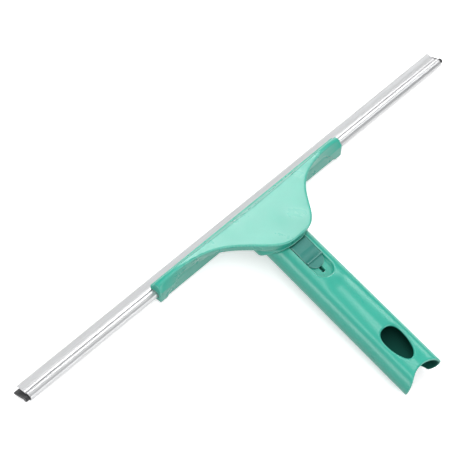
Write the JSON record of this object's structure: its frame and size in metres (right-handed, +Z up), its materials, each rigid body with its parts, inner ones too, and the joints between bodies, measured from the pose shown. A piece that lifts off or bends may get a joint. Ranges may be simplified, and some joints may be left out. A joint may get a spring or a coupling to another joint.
{
  "type": "window cleaning squeegee",
  "caption": "Hand squeegee for windows: a hollow handle with a release slider and a hanging hole, a click-on head, and a long aluminium rail that holds a rubber blade.",
  "frame": {"origin": "middle of the footprint, on the surface the squeegee lies on", "axes": "+X along the rail and blade, +Y from the handle's tail towards the blade, +Z up; the squeegee lies with its slider up, on the blade's edge and the handle's tail"},
  "size_m": [0.406, 0.1702, 0.0375],
  "materials": {
    "turquoise_plastic": "satin gloss",
    "deep_turquoise_plastic": "satin gloss",
    "grey_green_plastic": "satin",
    "aluminium": "brushed lengthwise",
    "rubber": "matt",
    "steel": "bright"
  },
  "bodies": {
    "handle": {"handle_tube": "turquoise_plastic", "latch_spring_left": "steel", "latch_spring_right": "steel"},
    "slider": {"slider_button": "grey_green_plastic", "slider_carriage": "grey_green_plastic"},
    "head": {"head_shell": "turquoise_plastic", "clamp_bar": "deep_turquoise_plastic", "neck_block": "turquoise_plastic", "underplate_left": "deep_turquoise_plastic", "underplate_right": "deep_turquoise_plastic", "head_plug": "deep_turquoise_plastic", "latch_leaf": "steel", "latch_leaf_rivet": "steel", "plug_screw_left": "steel", "plug_screw_right": "steel", "underplate_screw_1": "steel", "underplate_screw_2": "steel", "underplate_screw_3": "steel", "underplate_screw_4": "steel", "aluminium_rail": "aluminium"},
    "blade": {"rubber_blade": "rubber"}
  },
  "joints": [
    {"name": "release_slide", "type": "slide", "parent": "handle", "child": "slider", "axis": [0, -0.9982, -0.0597], "range_m": [0, 0.005], "stiffness_N_per_m": 500, "springref_m": -0.002, "deforming": ["latch_spring_left", "latch_spring_right", "latch_leaf"]},
    {"name": "head_release", "type": "slide", "parent": "handle", "child": "head", "axis": [0, 0.9982, 0.0597], "range_m": [0, 0.06], "deforming": ["latch_leaf"]},
    {"name": "blade_slide", "type": "slide", "parent": "head", "child": "blade", "axis": [1, 0, 0], "range_m": [0, 0.41]}
  ]
}
